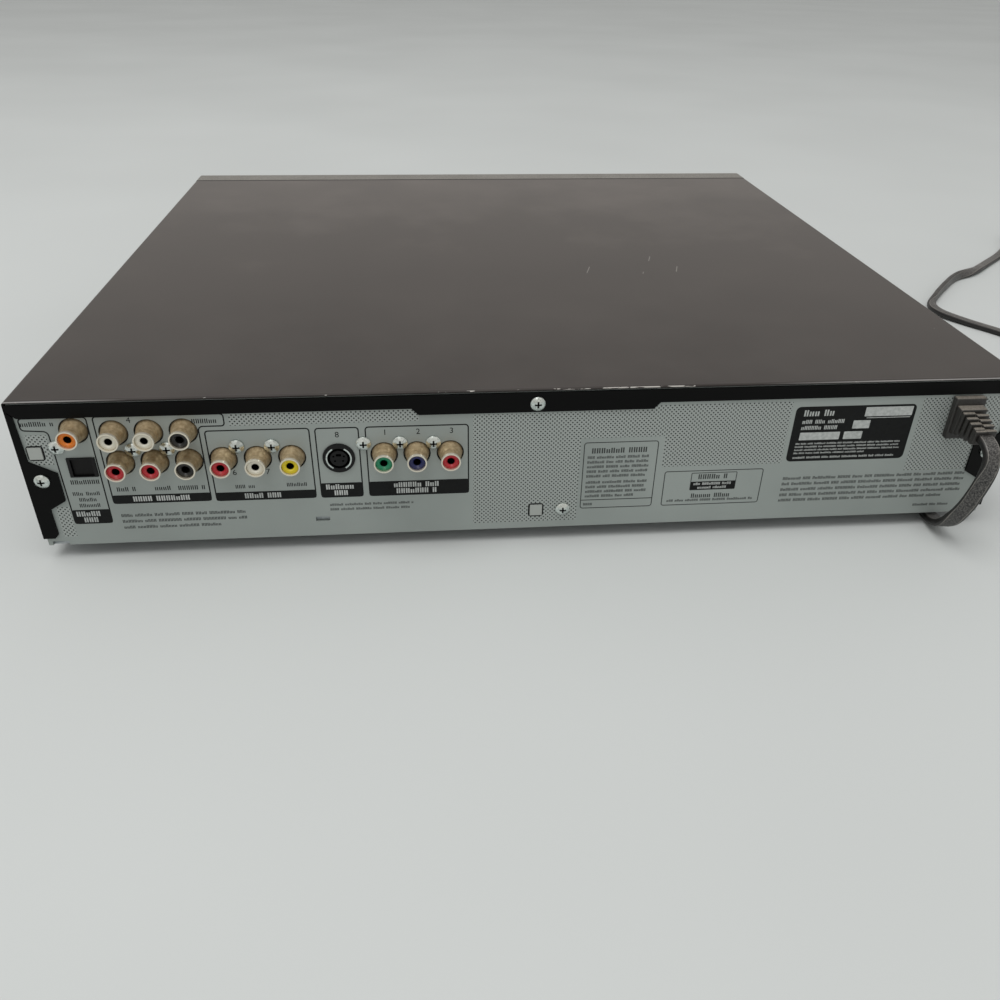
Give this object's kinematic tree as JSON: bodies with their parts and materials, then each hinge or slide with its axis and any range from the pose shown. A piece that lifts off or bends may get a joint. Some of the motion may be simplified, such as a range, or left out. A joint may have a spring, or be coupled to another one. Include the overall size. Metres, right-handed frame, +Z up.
{
  "type": "disc changer",
  "caption": "Low wide disc player with a carousel on a sliding tray, a lifting optical unit, rear jacks and a power cord.",
  "frame": {"origin": "middle of the footprint without the cord, at the level of the feet", "axes": "+X to the right seen from the front, +Y to the rear panel, +Z up"},
  "size_m": [0.8073, 0.5153, 0.077],
  "materials": {
    "cover_paint": "black satin paint",
    "panel_paint": "light grey-green coated sheet with black print",
    "zinc_sheet": "galvanised sheet",
    "zinc_screw": "pale zinc plating",
    "front_moulding": "satin dark moulding",
    "black_moulding": "fine matt moulding",
    "deck_moulding": "matt moulding",
    "table_moulding": "matt moulding with fine grain",
    "white_moulding": "natural acetal",
    "window_glass": "smoked clear",
    "tube_glass": "clear",
    "board": "lacquered board",
    "core": "laminated core and tape",
    "belt_rubber": "smooth",
    "foot_rubber": "matt",
    "jack_brass": "dull gold plating",
    "jack_colours": "coloured inserts",
    "cord_skin": "brown-black vinyl"
  },
  "bodies": {
    "cabinet": {"chassis": "zinc_sheet", "feet": "foot_rubber", "rear_panel": "panel_paint", "top_cover": "cover_paint", "cover_screws": "zinc_screw", "rear_screws": "zinc_screw", "front_panel": "front_moulding", "display_window": "window_glass", "deck": "deck_moulding", "clamp_bridge": "zinc_sheet", "loading_motor": "zinc_sheet", "drive_belt": "belt_rubber", "main_board": "board", "power_board": "board", "transformer": "core", "jack_board": "board", "rca_shells": "jack_brass", "rca_inserts": "jack_colours", "rca_housings": "black_moulding", "s_video_jack": "black_moulding", "optical_jack": "black_moulding", "front_board": "board", "display_tube": "tube_glass", "cord_gland": "black_moulding", "power_cord": "cord_skin", "cord_coil": "cord_skin", "power_plug": "cord_skin"},
    "tray": {"tray": "deck_moulding", "drawer_front": "front_moulding", "table_motor": "zinc_sheet", "table_cap": "table_moulding"},
    "carousel": {"carousel": "table_moulding"},
    "table_gear": {"table_gear": "white_moulding"},
    "motor_pulley": {"motor_pulley": "white_moulding"},
    "belt_gear": {"belt_gear": "white_moulding"},
    "rack_gear": {"rack_gear": "white_moulding"},
    "lift_cam": {"lift_cam": "white_moulding"},
    "optical_unit": {"lift_frame": "deck_moulding", "insulators": "belt_rubber", "base_plate": "zinc_sheet", "spindle_motor": "zinc_sheet", "guide_rods": "zinc_screw", "sled_motor": "zinc_sheet"},
    "optical_pickup": {"optical_pickup": "black_moulding"},
    "sled_gear": {"sled_gear": "white_moulding"},
    "turntable": {"turntable": "black_moulding"},
    "clamper": {"clamper": "black_moulding"},
    "optical_shutter": {"optical_shutter": "black_moulding"},
    "power_button": {"power_button": "front_moulding"},
    "open_close_button": {"open_close_button": "front_moulding"},
    "exchange_button": {"exchange_button": "front_moulding"},
    "disc_skip_button": {"disc_skip_button": "front_moulding"},
    "play_button": {"play_button": "front_moulding"},
    "pause_button": {"pause_button": "front_moulding"},
    "stop_button": {"stop_button": "front_moulding"},
    "disc_1_button": {"disc_1_button": "front_moulding"},
    "disc_2_button": {"disc_2_button": "front_moulding"},
    "disc_3_button": {"disc_3_button": "front_moulding"},
    "disc_4_button": {"disc_4_button": "front_moulding"},
    "disc_5_button": {"disc_5_button": "front_moulding"}
  },
  "joints": [
    {"name": "tray_slide", "type": "slide", "parent": "cabinet", "child": "tray", "axis": [0, -1, 0], "range_m": [0, 0.23]},
    {"name": "carousel_turn", "type": "hinge", "parent": "tray", "child": "carousel", "pos_m": [0, -0.004, 0.055], "axis": [0, 0, 1], "continuous": true},
    {"name": "table_gear_turn", "type": "hinge", "parent": "tray", "child": "table_gear", "pos_m": [0.13081, 0.12682, 0.052], "axis": [0, 0, 1], "continuous": true},
    {"name": "rack_gear_turn", "type": "hinge", "parent": "cabinet", "child": "rack_gear", "pos_m": [0.102, -0.16, 0.044], "axis": [0, 0, 1], "range_deg": [-880, 0]},
    {"name": "belt_gear_turn", "type": "hinge", "parent": "cabinet", "child": "belt_gear", "pos_m": [0.0765, -0.16, 0.04], "axis": [0, 0, 1], "range_deg": [0, 1257]},
    {"name": "motor_pulley_turn", "type": "hinge", "parent": "cabinet", "child": "motor_pulley", "pos_m": [0.0435, -0.16, 0.034], "axis": [0, 0, 1], "range_deg": [0, 5110]},
    {"name": "lift", "type": "slide", "parent": "cabinet", "child": "optical_unit", "axis": [0, 0, 1], "range_m": [0, 0.02]},
    {"name": "cam_slide", "type": "slide", "parent": "cabinet", "child": "lift_cam", "axis": [0, 1, 0], "range_m": [0, 0.0301]},
    {"name": "sled_slide", "type": "slide", "parent": "optical_unit", "child": "optical_pickup", "axis": [0, -1, 0], "range_m": [0, 0.034]},
    {"name": "sled_gear_turn", "type": "hinge", "parent": "optical_unit", "child": "sled_gear", "pos_m": [0.044, 0.066, 0.023], "axis": [0, 0, 1], "range_deg": [0, 245]},
    {"name": "turntable_spin", "type": "hinge", "parent": "optical_unit", "child": "turntable", "pos_m": [0, 0.104, 0.04], "axis": [0, 0, 1], "continuous": true},
    {"name": "clamper_spin", "type": "hinge", "parent": "cabinet", "child": "clamper", "pos_m": [0, 0.104, 0.067], "axis": [0, 0, 1], "continuous": true},
    {"name": "shutter_swing", "type": "hinge", "parent": "cabinet", "child": "optical_shutter", "pos_m": [0.1908, 0.19585, 0.0492], "axis": [-1, 0, 0], "range_deg": [0, 80], "stiffness_Nm_per_rad": 0.0004, "springref_deg": -20.05},
    {"name": "power_press", "type": "slide", "parent": "cabinet", "child": "power_button", "axis": [0, 1, 0], "range_m": [0, 0.0008], "stiffness_N_per_m": 600, "springref_m": -0.0008},
    {"name": "open_close_press", "type": "slide", "parent": "cabinet", "child": "open_close_button", "axis": [0, 1, 0], "range_m": [0, 0.0008], "stiffness_N_per_m": 600, "springref_m": -0.0008},
    {"name": "exchange_press", "type": "slide", "parent": "cabinet", "child": "exchange_button", "axis": [0, 1, 0], "range_m": [0, 0.0008], "stiffness_N_per_m": 600, "springref_m": -0.0008},
    {"name": "disc_skip_press", "type": "slide", "parent": "cabinet", "child": "disc_skip_button", "axis": [0, 1, 0], "range_m": [0, 0.0008], "stiffness_N_per_m": 600, "springref_m": -0.0008},
    {"name": "play_press", "type": "slide", "parent": "cabinet", "child": "play_button", "axis": [0, 1, 0], "range_m": [0, 0.0008], "stiffness_N_per_m": 600, "springref_m": -0.0008},
    {"name": "pause_press", "type": "slide", "parent": "cabinet", "child": "pause_button", "axis": [0, 1, 0], "range_m": [0, 0.0008], "stiffness_N_per_m": 600, "springref_m": -0.0008},
    {"name": "stop_press", "type": "slide", "parent": "cabinet", "child": "stop_button", "axis": [0, 1, 0], "range_m": [0, 0.0008], "stiffness_N_per_m": 600, "springref_m": -0.0008},
    {"name": "disc_1_press", "type": "slide", "parent": "cabinet", "child": "disc_1_button", "axis": [0, 1, 0], "range_m": [0, 0.0008], "stiffness_N_per_m": 600, "springref_m": -0.0008},
    {"name": "disc_2_press", "type": "slide", "parent": "cabinet", "child": "disc_2_button", "axis": [0, 1, 0], "range_m": [0, 0.0008], "stiffness_N_per_m": 600, "springref_m": -0.0008},
    {"name": "disc_3_press", "type": "slide", "parent": "cabinet", "child": "disc_3_button", "axis": [0, 1, 0], "range_m": [0, 0.0008], "stiffness_N_per_m": 600, "springref_m": -0.0008},
    {"name": "disc_4_press", "type": "slide", "parent": "cabinet", "child": "disc_4_button", "axis": [0, 1, 0], "range_m": [0, 0.0008], "stiffness_N_per_m": 600, "springref_m": -0.0008},
    {"name": "disc_5_press", "type": "slide", "parent": "cabinet", "child": "disc_5_button", "axis": [0, 1, 0], "range_m": [0, 0.0008], "stiffness_N_per_m": 600, "springref_m": -0.0008}
  ],
  "couplings": [
    {"joint": "table_gear_turn", "follows": "carousel_turn", "ratio": -9.5714},
    {"joint": "rack_gear_turn", "follows": "tray_slide", "rad_per_m": -66.667},
    {"joint": "belt_gear_turn", "follows": "tray_slide", "rad_per_m": 95.238},
    {"joint": "motor_pulley_turn", "follows": "tray_slide", "rad_per_m": 387.45},
    {"joint": "cam_slide", "follows": "lift", "ratio": 1.5},
    {"joint": "sled_gear_turn", "follows": "sled_slide", "rad_per_m": 125}
  ]
}
